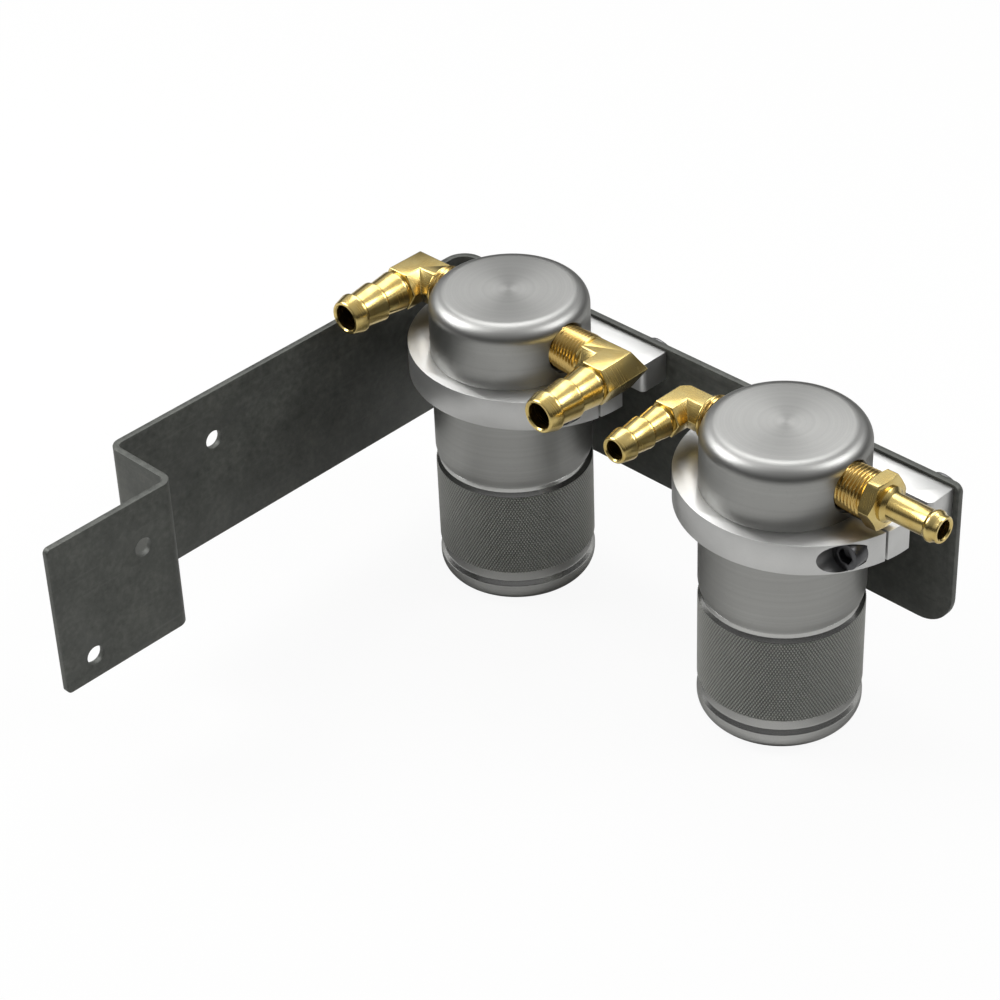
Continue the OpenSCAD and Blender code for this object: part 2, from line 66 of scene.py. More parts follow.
def make_camera():
    """The photograph's camera: where it stands, how it is turned and its lens."""
    azimuth, elevation, roll = (math.radians(v) for v in (45.544, 35.602, 2.421))
    level = math.cos(elevation)
    fwd = Vector((-math.sin(azimuth) * level, math.cos(azimuth) * level, -math.sin(elevation)))
    right = Vector((math.cos(azimuth), math.sin(azimuth), 0))
    down = fwd.cross(right)
    x_axis = right * math.cos(roll) + down * math.sin(roll)
    y_axis = right * math.sin(roll) - down * math.cos(roll)
    data = bpy.data.cameras.new("camera")
    data.lens = 104.71
    data.sensor_width = 36
    data.clip_start, data.clip_end = 0.05, 20
    cam = bpy.data.objects.new("camera", data)
    scene.collection.objects.link(cam)
    m = Matrix.Identity(4)
    for row in range(3):
        m[row][0], m[row][1], m[row][2] = x_axis[row], y_axis[row], -fwd[row]
    m.translation = Vector((0.61741, -0.61438, 0.65037))
    cam.matrix_world = m
    scene.camera = cam


SHARP = 32


class Shell:
    """Collects vertices and faces in millimetres, with a smooth flag per face."""

    def __init__(self):
        self.verts, self.faces, self.smooth = [], [], []

    def add(self, verts, faces, smooth=True):
        base = len(self.verts)
        self.verts += [tuple(v) for v in verts]
        self.faces += [tuple(base + i for i in f) for f in faces]
        self.smooth += [smooth] * len(faces)

    def moved(self, matrix):
        self.verts = [tuple(matrix @ Vector(v)) for v in self.verts]
        return self

    def build(self, name):
        """Object of the shell, with its edges over SHARP degrees left sharp."""
        mesh = bpy.data.meshes.new(name)
        mesh.from_pydata([tuple(c * MM for c in v) for v in self.verts], [], self.faces)
        mesh.polygons.foreach_set("use_smooth", self.smooth)
        mesh.validate()
        bm = bmesh.new()
        bm.from_mesh(mesh)
        bmesh.ops.recalc_face_normals(bm, faces=bm.faces)
        limit = math.radians(SHARP)
        for e in bm.edges:
            if len(e.link_faces) == 2 and e.calc_face_angle(0) > limit:
                e.smooth = False
        bm.to_mesh(mesh)
        bm.free()
        obj = bpy.data.objects.new(name, mesh)
        scene.collection.objects.link(obj)
        return obj


def arc(cx, cy, r, a0, a1, n):
    """Points on a circle in the half section, from angle a0 to a1 in degrees."""
    return [(cx + r * math.cos(math.radians(a0 + (a1 - a0) * i / n)),
             cy + r * math.sin(math.radians(a0 + (a1 - a0) * i / n))) for i in range(n + 1)]


def circle(r, z, n, turn=0.0):
    """Points round Z at one height, the first of them at the given turn."""
    return [(r * math.cos(2 * math.pi * k / n + turn), r * math.sin(2 * math.pi * k / n + turn), z)
            for k in range(n)]


def lathe(section, n, closed=False):
    """Revolves a half section of (radius, height) points round Z."""
    shell = Shell()
    verts, rows = [], []
    for r, z in section:
        if r < 1e-6:
            rows.append([len(verts)] * n)
            verts.append((0, 0, z))
        else:
            rows.append(list(range(len(verts), len(verts) + n)))
            verts += circle(r, z, n)
    faces = []
    pairs = list(zip(rows, rows[1:])) + ([(rows[-1], rows[0])] if closed else [])
    for a, b in pairs:
        for k in range(n):
            j = (k + 1) % n
            face = []
            for i in (a[k], a[j], b[j], b[k]):
                if i not in face:
                    face.append(i)
            if len(face) > 2:
                faces.append(face)
    shell.add(verts, faces)
    return shell


def mark_sharp(bm, degrees):
    """Shades every face smooth and keeps the edges over an angle sharp."""
    limit = math.radians(degrees)
    for f in bm.faces:
        f.smooth = True
    for e in bm.edges:
        e.smooth = not (len(e.link_faces) != 2 or e.calc_face_angle(0) > limit)


def combine(base, tools, sharp):
    """Applies boolean steps of (operation, object) to base and removes the tool objects."""
    for operation, tool in tools:
        mod = base.modifiers.new("cut", "BOOLEAN")
        mod.operation, mod.object, mod.solver = operation, tool, "EXACT"
        dg = bpy.context.evaluated_depsgraph_get()
        mesh = bpy.data.meshes.new_from_object(base.evaluated_get(dg))
        base.modifiers.clear()
        old = base.data
        base.data = mesh
        bpy.data.meshes.remove(old)
        mesh_tool = tool.data
        bpy.data.objects.remove(tool)
        if mesh_tool.users == 0:
            bpy.data.meshes.remove(mesh_tool)
    bm = bmesh.new()
    bm.from_mesh(base.data)
    bmesh.ops.remove_doubles(bm, verts=bm.verts, dist=2e-6)
    bmesh.ops.dissolve_degenerate(bm, edges=bm.edges, dist=1e-6)
    mark_sharp(bm, sharp)
    bm.to_mesh(base.data)
    bm.free()
    return base


def prism(n, across_flats, z0, z1, turn):
    """Regular prism along Z, with a corner at the given turn."""
    r = across_flats / 2 / math.cos(math.pi / n)
    shell = Shell()
    faces = [tuple(range(n))[::-1], tuple(range(n, 2 * n))]
    faces += [(k, (k + 1) % n, n + (k + 1) % n, n + k) for k in range(n)]
    shell.add(circle(r, z0, n, turn) + circle(r, z1, n, turn), faces, smooth=False)
    return shell


def round_edges(bm, width, segments, over):
    """Rounds every edge that turns by more than an angle in degrees."""
    edges = [e for e in bm.edges if len(e.link_faces) == 2 and e.calc_face_angle(0) > math.radians(over)]
    bmesh.ops.bevel(bm, geom=edges, offset=width * MM, segments=segments, profile=0.5, affect="EDGES",
                    clamp_overlap=True)


def bevelled(shell, name, width, segments):
    """Object from a shell with its edges rounded by width."""
    obj = shell.build(name)
    bm = bmesh.new()
    bm.from_mesh(obj.data)
    round_edges(bm, width, segments, over=20)
    mark_sharp(bm, 50)
    bm.to_mesh(obj.data)
    bm.free()
    return obj


def from_node(node, name, width):
    """Copy of a CAD node's mesh with its flat faces joined and its edges rounded by width."""
    bm = bmesh.new()
    bm.from_mesh(nodes[node].data)
    bmesh.ops.remove_doubles(bm, verts=bm.verts, dist=1e-6)
    bmesh.ops.dissolve_limit(bm, angle_limit=math.radians(0.6), verts=bm.verts, edges=bm.edges)
    round_edges(bm, width, 2, over=25)
    bmesh.ops.remove_doubles(bm, verts=bm.verts, dist=1e-7)
    mark_sharp(bm, 40)
    mesh = bpy.data.meshes.new(name)
    bm.to_mesh(mesh)
    bm.free()
    obj = bpy.data.objects.new(name, mesh)
    scene.collection.objects.link(obj)
    return obj


def place(obj, body, node, material):
    """Lets a piece ride on its body in place of a CAD node and material."""
    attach(obj, body)
    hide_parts(node)
    obj.data.materials.clear()
    obj.data.materials.append(material)


class Nodes:
    """Short names for the nodes of one material."""

    def __init__(self, name):
        self.material = bpy.data.materials.new(name)
        self.material.use_nodes = True
        self.tree = self.material.node_tree
        self.tree.nodes.clear()
        self.out = self.tree.nodes.new("ShaderNodeOutputMaterial")
        self.bsdf = self.tree.nodes.new("ShaderNodeBsdfPrincipled")
        self.link(self.bsdf.outputs[0], self.out.inputs[0])
        self.coords = self.tree.nodes.new("ShaderNodeTexCoord").outputs["Object"]

    def link(self, a, b):
        self.tree.links.new(a, b)

    def put(self, socket, value):
        if isinstance(value, bpy.types.NodeSocket):
            self.link(value, socket)
        else:
            socket.default_value = value

    def math(self, operation, a, b=0.0):
        n = self.tree.nodes.new("ShaderNodeMath")
        n.operation = operation
        for socket, value in zip(n.inputs, (a, b)):
            self.put(socket, value)
        return n.outputs[0]

    def scaled(self, vector, scale):
        n = self.tree.nodes.new("ShaderNodeVectorMath")
        n.operation = "MULTIPLY"
        self.put(n.inputs[0], vector)
        n.inputs[1].default_value = scale
        return n.outputs[0]

    def radius(self):
        """Distance from the piece's Z axis."""
        x, y = self.split(self.coords)[:2]
        squares = self.math("ADD", self.math("MULTIPLY", x, x), self.math("MULTIPLY", y, y))
        return self.math("SQRT", squares)

    def split(self, vector):
        n = self.tree.nodes.new("ShaderNodeSeparateXYZ")
        self.put(n.inputs[0], vector)
        return n.outputs

    def noise(self, vector, scale, detail=3.0, rough=0.55):
        n = self.tree.nodes.new("ShaderNodeTexNoise")
        self.put(n.inputs["Vector"], vector)
        n.inputs["Scale"].default_value = scale
        n.inputs["Detail"].default_value = detail
        n.inputs["Roughness"].default_value = rough
        return n.outputs[0]

    def noise_1d(self, w, scale, detail=2.0, rough=0.6):
        n = self.tree.nodes.new("ShaderNodeTexNoise")
        n.noise_dimensions = "1D"
        self.put(n.inputs["W"], w)
        n.inputs["Scale"].default_value = scale
        n.inputs["Detail"].default_value = detail
        n.inputs["Roughness"].default_value = rough
        return n.outputs[0]

    def spread(self, value, low, high, to_low=0.0, to_high=1.0):
        n = self.tree.nodes.new("ShaderNodeMapRange")
        self.put(n.inputs[0], value)
        for i, v in enumerate((low, high, to_low, to_high)):
            n.inputs[i + 1].default_value = v
        return n.outputs[0]

    def ramp(self, value, stops):
        n = self.tree.nodes.new("ShaderNodeValToRGB")
        self.put(n.inputs[0], value)
        while len(n.color_ramp.elements) < len(stops):
            n.color_ramp.elements.new(0.5)
        for e, (at, colour) in zip(n.color_ramp.elements, stops):
            e.position = at
            e.color = (*colour, 1)
        return n.outputs[0]

    def mix(self, factor, a, b):
        n = self.tree.nodes.new("ShaderNodeMix")
        n.data_type = "RGBA"
        self.put(n.inputs[0], factor)
        self.put(n.inputs[6], a if isinstance(a, bpy.types.NodeSocket) else (*a, 1))
        self.put(n.inputs[7], b if isinstance(b, bpy.types.NodeSocket) else (*b, 1))
        return n.outputs[2]

    def bump(self, height, strength, distance):
        n = self.tree.nodes.new("ShaderNodeBump")
        self.put(n.inputs["Height"], height)
        n.inputs["Strength"].default_value = strength
        n.inputs["Distance"].default_value = distance
        return n.outputs[0]

    def round_tangent(self):
        n = self.tree.nodes.new("ShaderNodeTangent")
        n.direction_type, n.axis = "RADIAL", "Z"
        self.link(n.outputs[0], self.bsdf.inputs["Tangent"])

    def set(self, **values):
        for key, value in values.items():
            self.put(self.bsdf.inputs[key.replace("_", " ")], value)


def turned_aluminium(name, colour, rough, anisotropic):
    """Bare aluminium off the lathe: fine rings on the top, fine lines round the side."""
    m = Nodes(name)
    w = m.math("SUBTRACT", m.radius(), m.split(m.coords)[2])
    fine = m.noise_1d(w, 5200.0, 1.0)
    band = m.noise_1d(w, 620.0, 3.0)
    cloud = m.noise(m.coords, 45.0, 4.0)
    speck = m.noise(m.coords, 900.0, 2.0)
    base = m.mix(m.spread(band, 0.3, 0.7), tuple(c * 0.95 for c in colour), tuple(c * 1.03 for c in colour))
    base = m.mix(m.spread(cloud, 0.4, 0.75, 0.0, 0.35), base, tuple(c * 0.88 for c in colour))
    base = m.mix(m.spread(speck, 0.62, 0.8, 0.0, 0.25), base, tuple(c * 0.7 for c in colour))
    m.set(Base_Color=base, Metallic=1.0, Anisotropic=anisotropic, Specular_Tint=(0.55, 0.55, 0.55, 1))
    lines = m.spread(fine, 0.2, 0.8, rough - 0.03, rough + 0.03)
    m.set(Roughness=m.math("ADD", lines, m.spread(cloud, 0.3, 0.7, -0.02, 0.03)))
    height = m.math("ADD", m.math("MULTIPLY", fine, 0.6), m.math("MULTIPLY", band, 0.4))
    m.set(Normal=m.bump(height, 0.035, 0.0001))
    m.round_tangent()
    return m.material


def milled_aluminium(name, colour, rough):
    """Milled plate: a satin surface with short scratches in the plane of the cut."""
    m = Nodes(name)
    grain = m.noise(m.scaled(m.coords, (260.0, 2600.0, 2600.0)), 1.0, 3.0)
    cloud = m.noise(m.coords, 90.0, 4.0)
    base = m.mix(m.spread(cloud, 0.3, 0.75), colour, tuple(c * 0.92 for c in colour))
    m.set(Base_Color=base, Metallic=1.0)
    m.set(Roughness=m.spread(grain, 0.25, 0.75, rough - 0.05, rough + 0.07))
    m.set(Normal=m.bump(grain, 0.06, 0.0001))
    return m.material


def knurled_aluminium(name, colour, furrow_shade, rough):
    """Knurled band: bright on the points, with painted shade darkening the furrows."""
    m = Nodes(name)
    height = m.spread(m.radius(), (KNURL_LOW + 0.04) * MM, (KNURL_HIGH - 0.1) * MM)
    cloud = m.noise(m.coords, 140.0, 4.0)
    # Painted shade: the colour darkens from the points down into the furrows, and the metal dulls there.
    base = m.mix(height, furrow_shade, colour)
    base = m.mix(m.spread(cloud, 0.35, 0.7, 0.0, 0.35), base, tuple(c * 0.75 for c in colour))
    m.set(Base_Color=base, Metallic=m.spread(height, 0.0, 1.0, 0.55, 1.0))
    m.set(Roughness=m.spread(height, 0.0, 1.0, 0.6, rough))
    m.set(Normal=m.bump(m.noise(m.coords, 3500.0, 2.0), 0.12, 0.0001))
    return m.material


def brass_material(name, colour, rough, along, port_start):
    """Machined brass with turning marks along one axis of the piece, deeper in tone on the port thread.

    The thread starts at port_start on either side of the middle; a negative one lies on the -X side only.
    """
    m = Nodes(name)
    xyz = m.split(m.coords)
    marks = m.noise_1d(m.math("ADD", xyz[along], m.math("MULTIPLY", xyz[2], 0.15)), 3200.0, 2.0)
    cloud = m.noise(m.coords, 160.0, 4.0)
    worn = (colour[0] * 0.84, colour[1] * 0.76, colour[2] * 0.6)
    base = m.mix(m.spread(cloud, 0.35, 0.7), colour, worn)
    way_out = m.math("ABSOLUTE", xyz[0]) if port_start > 0 else m.math("MULTIPLY", xyz[0], -1.0)
    port = m.math("GREATER_THAN", way_out, abs(port_start) * MM)
    base = m.mix(m.math("MULTIPLY", port, 0.85), base, (0.55, 0.38, 0.13))
    m.set(Base_Color=base, Metallic=1.0)
    lines = m.spread(marks, 0.2, 0.8, rough - 0.04, rough + 0.06)
    m.set(Roughness=m.math("ADD", lines, m.spread(cloud, 0.3, 0.7, -0.03, 0.05)))
    height = m.math("ADD", m.math("MULTIPLY", marks, 0.8), m.math("MULTIPLY", cloud, 0.2))
    m.set(Normal=m.bump(height, 0.08, 0.0001))
    return m.material


def mill_scale(name):
    """Hot-rolled strip: dark scale with mottling, faint rolling streaks and small pale scuffs."""
    m = Nodes(name)
    mottle = m.noise(m.coords, 420.0, 5.0, 0.65)
    patch = m.noise(m.coords, 70.0, 4.0, 0.6)
    streak = m.noise(m.scaled(m.coords, (25.0, 25.0, 900.0)), 1.0, 3.0)
    tone = m.math("ADD", m.math("MULTIPLY", mottle, 0.6), m.math("MULTIPLY", patch, 0.4))
    base = m.ramp(tone, [(0.3, (0.040, 0.042, 0.038)), (0.5, (0.072, 0.075, 0.068)),
                         (0.72, (0.120, 0.124, 0.112))])
    base = m.mix(m.spread(patch, 0.6, 0.85, 0.0, 0.25), base, (0.095, 0.088, 0.074))
    base = m.mix(m.spread(streak, 0.6, 0.85, 0.0, 0.25), base, (0.16, 0.165, 0.15))
    m.set(Base_Color=base, Metallic=0.45)
    m.set(Roughness=m.spread(mottle, 0.3, 0.7, 0.42, 0.62))
    m.set(Normal=m.bump(m.math("ADD", mottle, m.math("MULTIPLY", streak, 0.3)), 0.35, 0.00015))
    return m.material


def steel(name, colour, rough):
    """Fine-grained steel with cloudy darker places."""
    m = Nodes(name)
    grain = m.noise(m.coords, 900.0, 3.0)
    cloud = m.noise(m.coords, 150.0, 4.0)
    base = m.mix(m.spread(cloud, 0.3, 0.7), colour, tuple(c * 0.72 for c in colour))
    m.set(Base_Color=base, Metallic=1.0, Roughness=m.spread(grain, 0.3, 0.7, rough - 0.06, rough + 0.08))
    m.set(Normal=m.bump(grain, 0.12, 0.0001))
    return m.material


def rubber_material(name):
    """Matt black rubber."""
    m = Nodes(name)
    grain = m.noise(m.coords, 1800.0, 3.0)
    m.set(Base_Color=m.mix(grain, (0.012, 0.012, 0.012), (0.028, 0.028, 0.028)), Metallic=0.0)
    m.set(Roughness=m.spread(grain, 0.3, 0.7, 0.5, 0.65), Normal=m.bump(grain, 0.15, 0.0001))
    return m.material


def wire_wool(name):
    """Pad of fine crossed wires."""
    m = Nodes(name)
    a = m.noise(m.scaled(m.coords, (900.0, 900.0, 2600.0)), 1.0, 4.0)
    b = m.noise(m.scaled(m.coords, (2400.0, 2400.0, 700.0)), 1.0, 4.0)
    wires = m.math("MAXIMUM", a, b)
    m.set(Base_Color=m.mix(m.spread(wires, 0.45, 0.7), (0.03, 0.03, 0.03), (0.55, 0.56, 0.57)), Metallic=1.0)
    m.set(Roughness=m.spread(wires, 0.4, 0.7, 0.6, 0.3), Normal=m.bump(wires, 0.8, 0.0006))
    return m.material


def can_body(side):
    """Turned head and body with its spigot, stepped hollow and two ports."""
    edge = CUP_H + 1
    outline = [(SPIGOT_R, SPIGOT_Z + 0.4), (SPIGOT_R, CUP_H), (NECK_R, CUP_H), (NECK_R, edge - 0.1),
               (NECK_R + 0.1, edge), (CAN_R - 0.65, edge), (CAN_R - 0.5, edge + 0.12),
               (CAN_R - 0.2, edge + 1.6), (CAN_R - 0.05, edge + 2.4), (CAN_R, edge + 2.8)]
    outline += [(CAN_R, z) for z in (60, 72, 82, 94, 104)]
    outline += arc(CAN_R - LID_R, CAN_H - LID_R, LID_R, 0, 90, 20)
    outline += [(r, CAN_H) for r in (18, 12, 6, 1.2, 0)]
    outline += [(0, ROOF_Z), (HEAD_R, ROOF_Z), (HEAD_R, SHOULDER_Z), (BODY_R, SHOULDER_Z), (BODY_R, CLIP_Z1),
                (CLIP_R, CLIP_Z1), (CLIP_R, CLIP_Z0), (BODY_R, CLIP_Z0), (BODY_R, SPIGOT_Z),
                (SPIGOT_R - 0.4, SPIGOT_Z)]
    body = lathe(outline, 240, closed=True).build(side + "_turned_body")
    port_sections = [[(0, RELIEF_X), (RELIEF_R, RELIEF_X), (RELIEF_R, 40), (0, 40)],
                     [(0, 10), (PORT_R, 10), (PORT_R, RELIEF_X - 0.4), (PORT_MOUTH_R, RELIEF_X),
                      (PORT_MOUTH_R, 41), (0, 41)]]
    tools = []
    for turn in (1, -1):
        aim = Matrix.Translation((0, 0, PORT_Z)) @ Matrix.Rotation(math.radians(90 * turn), 4, "Y")
        for n, section in enumerate(port_sections):
            tools.append(("DIFFERENCE", lathe(section, 96).moved(aim).build(f"{side}_port_tool_{turn}_{n}")))
    combine(body, tools, sharp=28)
    body.location.x = CAN_X[side] * MM
    return body


KNURL_ROWS, KNURL_COUNT = 17, 160
KNURL_LOW, KNURL_HIGH = CAN_R - 0.52, CAN_R - 0.02
KNURL_CORE_R = 27.5
KNURL_Z0, KNURL_Z1 = 14.25, 47.6
POINT_SHARE = 0.3


def knurl():
    """Diamonds with flattened points, each standing on the crossings of two sets of furrows."""
    shell = Shell()
    step = (KNURL_Z1 - KNURL_Z0) / KNURL_ROWS
    verts, faces, index = [], [], {}

    def vert(turn, height, radius):
        key = (round(turn % KNURL_COUNT, 4), round(height, 4), radius)
        if key not in index:
            index[key] = len(verts)
            a = 2 * math.pi * turn / KNURL_COUNT
            z = min(max(KNURL_Z0 + height * step, KNURL_Z0), KNURL_Z1)
            verts.append((radius * math.cos(a), radius * math.sin(a), z))
        return index[key]

    for half_row in range(2 * KNURL_ROWS + 1):
        z = half_row / 2
        for k in range(KNURL_COUNT):
            a = k + (0.5 if half_row % 2 else 0.0)
            corners = [(0.5, 0), (0, 0.5), (-0.5, 0), (0, -0.5)]
            outer = [vert(a + u, z + v, KNURL_LOW) for u, v in corners]
            inner = [vert(a + u * POINT_SHARE, z + v * POINT_SHARE, KNURL_HIGH) for u, v in corners]
            faces += [(outer[i], outer[(i + 1) % 4], inner[(i + 1) % 4], inner[i]) for i in range(4)]
            faces.append(tuple(inner))
    ends = [[], []]
    for k in range(KNURL_COUNT):
        ends[0] += [vert(k, -0.5, KNURL_LOW), vert(k + 0.5, 0.0, KNURL_LOW)]
        ends[1] += [vert(k, KNURL_ROWS + 0.5, KNURL_LOW), vert(k + 0.5, float(KNURL_ROWS), KNURL_LOW)]
    count = 2 * KNURL_COUNT
    rings = []
    for z in (KNURL_Z0, KNURL_Z1):
        rings.append(range(len(verts), len(verts) + count))
        verts += circle(KNURL_CORE_R, z, count)
    for i in range(count):
        j = (i + 1) % count
        faces.append((ends[0][i], ends[0][j], rings[0][j], rings[0][i]))
        faces.append((ends[1][j], ends[1][i], rings[1][i], rings[1][j]))
        faces.append((rings[0][i], rings[0][j], rings[1][j], rings[1][i]))
    shell.add(verts, faces, smooth=False)
    return shell


def cup(side):
    """Cup with its foot ring, necks, knurled band and bored inside, and which of its faces are knurled."""
    floor_r = KNURL_LOW - 0.1
    outline = [(0, 0.4), (12, 0.4), (12.6, 0)]
    outline += arc(CAN_R - FOOT_R, FOOT_R, FOOT_R, -90, 0, 18)
    outline += [(CAN_R, 7.9), (CAN_R - 0.06, 8.15), (CAN_R - 0.2, 8.4), (NECK_R + 0.18, 9.65),
                (NECK_R + 0.04, 9.9), (NECK_R, 10.2), (NECK_R, 13.9), (NECK_R + 0.15, 14.2)]
    outline += [(floor_r, KNURL_Z0), (floor_r, 30), (floor_r, KNURL_Z1), (CAN_R - 0.35, KNURL_Z1),
                (CAN_R - 0.25, KNURL_Z1 + 0.15), (NECK_R + 0.12, 49.15), (NECK_R, 49.4)]
    outline += [(NECK_R, CUP_H - 0.05), (NECK_R - 0.05, CUP_H), (SEAL_OUT_R, CUP_H), (SEAL_OUT_R, SEAL_Z),
                (SEAL_IN_R, SEAL_Z), (SEAL_IN_R, CUP_H), (CUP_THREAD_R + 0.2, CUP_H),
                (CUP_THREAD_R, CUP_H - 0.2), (CUP_THREAD_R, CUP_THREAD_Z), (CUP_BORE_R, CUP_THREAD_Z),
                (CUP_BORE_R, CUP_FLOOR + 1), (CUP_BORE_R - 1, CUP_FLOOR), (0, CUP_FLOOR)]
    obj = lathe(outline, 224).build(side + "_knurled_cup")
    combine(obj, [("UNION", knurl().build(side + "_tool_knurl"))], sharp=28)
    knurled = []
    for p in obj.data.polygons:
        x, y, z = (v / MM for v in p.center)
        knurled.append(KNURL_Z0 - 0.01 < z < KNURL_Z1 + 0.01 and math.hypot(x, y) > KNURL_LOW - 0.06)
    obj.location.x = CAN_X[side] * MM
    return obj, knurled


PIPE_CREST, PIPE_DEPTH, PIPE_PITCH = 8.5, 0.72, 1.411
THREAD_SINK, THREAD_RUNOUT = 0.6, 1.2


def thread(length):
    """Solid with a right-handed port thread along +Z, which starts inside the body that it belongs to.

    It runs out towards its start and thins a little towards its far end, as pipe thread does.
    """
    n, length = 80, length + THREAD_SINK
    rows = int(length / PIPE_PITCH * 8)
    verts, faces = [], []
    for i in range(rows + 1):
        z = length * i / rows
        fade = min(z / THREAD_RUNOUT, 1.0)
        for k in range(n):
            phase = (z / PIPE_PITCH - k / n) % 1.0
            away = min(max((abs(phase - 0.5) * 2 - 0.12) / 0.76, 0.0), 1.0)
            r = PIPE_CREST - PIPE_DEPTH * (away * fade + (1 - fade)) - z / 32
            verts.append((r * math.cos(2 * math.pi * k / n), r * math.sin(2 * math.pi * k / n), z))
    for i in range(rows):
        for k in range(n):
            j = (k + 1) % n
            faces.append((i * n + k, i * n + j, (i + 1) * n + j, (i + 1) * n + k))
    faces.append(tuple(range(n))[::-1])
    faces.append(tuple(range(rows * n, rows * n + n)))
    shell = Shell()
    shell.add(verts, faces)
    return shell


TO_MINUS_X = Matrix.Rotation(math.radians(-90), 4, "Y")
TO_PLUS_X = Matrix.Rotation(math.radians(90), 4, "Y")
TO_MINUS_Y = Matrix.Rotation(math.radians(90), 4, "X")
BARBS, BARB_RISE, BARB_NECK = 3, 1.0, 0.8


def elbow_body(af, leg):
    """Mitred six-sided bar with a flat on top: one leg comes from -X, the other leaves to -Y."""
    flat = af / 2
    edge = flat * math.tan(math.radians(30))
    ring = [(2 * edge, 0), (edge, flat), (-edge, flat), (-2 * edge, 0), (-edge, -flat), (edge, -flat)]
    verts = [(-leg, u, v) for u, v in ring] + [(u, u, v) for u, v in ring] + [(u, -leg, v) for u, v in ring]
    faces = [tuple(range(6)), tuple(range(12, 18))[::-1]]
    for base in (0, 6):
        faces += [(base + k, base + 6 + k, base + 6 + (k + 1) % 6, base + (k + 1) % 6) for k in range(6)]
    shell = Shell()
    shell.add(verts, faces, smooth=False)
    return shell


def barbed(l, root, crest, tip, lead, land):
    """Hose spout along +Z: barbs with a short rise, a flat land and a long fall."""
    first = l - lead - land - BARB_RISE
    pitch = (first - BARB_NECK) / (BARBS - 1)
    r, c, t = root / 2, crest / 2, tip / 2
    out = [(0, -1.0), (r, -1.0)]
    for i in range(BARBS - 1, -1, -1):
        z = first - i * pitch
        out += [(r, z - 0.12), (r + 0.1, z), (c - 0.14, z + BARB_RISE - 0.16), (c, z + BARB_RISE + 0.02),
                (c, z + BARB_RISE + land - 0.16), (c - 0.08, z + BARB_RISE + land + 0.1)]
    out += [(t + 0.16, l - 0.5), (t, l - 0.22), (t - 0.25, l), (0, l)]
    return lathe(out, 96)


def bore(radius, z0, z1):
    """Tool for a bore along +Z with a small countersink at its far end."""
    wide = radius + 0.5
    return lathe([(0, z0), (radius, z0), (radius, z1 - 0.45), (wide, z1 + 0.05), (wide, z1 + 1),
                  (0, z1 + 1)], 72)


def elbow(name, af, leg, thread_l, l, root, crest, tip, lead, land, bore_d, port_bore_d, round_r=None):
    """Elbow with its axes crossing at the origin: port thread to -X, spout to -Y."""
    obj = bevelled(elbow_body(af, leg), name, 0.35, 3)
    spout = barbed(l - leg, root, crest, tip, lead, land)
    spout.moved(TO_MINUS_Y).moved(Matrix.Translation((0, -leg, 0)))
    nipple = thread(thread_l).moved(TO_MINUS_X).moved(Matrix.Translation((THREAD_SINK - leg, 0, 0)))
    steps = [("UNION", spout, "_tool_spout"), ("UNION", nipple, "_tool_thread"),
             ("DIFFERENCE", bore(bore_d / 2, -bore_d / 4, l).moved(TO_MINUS_Y), "_tool_bore"),
             ("DIFFERENCE", bore(port_bore_d / 2, 0, leg + thread_l).moved(TO_MINUS_X), "_tool_port")]
    if round_r:
        corner = lathe([(0, -2 * af), (round_r, -2 * af), (round_r, 2 * af), (0, 2 * af)], 160)
        steps.insert(0, ("INTERSECT", corner.moved(Matrix.Translation((-leg, -leg, 0))), "_tool_round"))
    return combine(obj, [(operation, shell.build(name + end)) for operation, shell, end in steps], sharp=30)


def straight_fitting(name):
    """Straight fitting along +X: port thread, hexagon from the origin, collar, and spout with a bead."""
    flats, h, thread_l, bore_r = 17.5, 5.4, 14.7, 3.3
    collar, spout, bead = 12.6 / 2, 9.5 / 2, 11.2 / 2
    end = h + 22
    bead_z = end - 5.4
    corner, inner = flats / 2 / math.cos(math.radians(30)) + 0.1, flats / 2 - 0.15
    hexagon = bevelled(prism(6, flats, 0, h, math.radians(30)), name, 0.22, 2)
    guard = lathe([(0, -0.01), (inner, -0.01), (corner, 0.75), (corner, h - 0.85), (inner, h + 0.01),
                   (0, h + 0.01)], 128)
    outline = [(0, h - 1), (collar, h - 1), (collar, h + 0.85), (collar - 0.2, h + 1.1),
               (spout + 0.3, h + 1.9), (spout + 0.06, h + 2.1), (spout, h + 2.4), (spout, h + 11)]
    outline += [(spout, bead_z - 0.1), (spout + 0.06, bead_z + 0.1), (bead - 0.1, bead_z + 1.1),
                (bead, bead_z + 1.35), (bead, bead_z + 2.25), (bead - 0.1, bead_z + 2.5),
                (spout + 0.06, bead_z + 3.5), (spout, bead_z + 3.7), (spout, end - 0.4), (spout - 0.3, end),
                (0, end)]
    nipple = thread(thread_l).moved(Matrix.Rotation(math.pi, 4, "X"))
    nipple.moved(Matrix.Translation((0, 0, THREAD_SINK)))
    steps = [("INTERSECT", guard, "_tool_guard"), ("UNION", lathe(outline, 96), "_tool_spout"),
             ("UNION", nipple, "_tool_thread"), ("DIFFERENCE", bore(bore_r, -17, end), "_tool_bore")]
    tools = [(operation, shell.build(name + tail)) for operation, shell, tail in steps]
    obj = combine(hexagon, tools, sharp=30)
    obj.data.transform(TO_PLUS_X)
    return obj


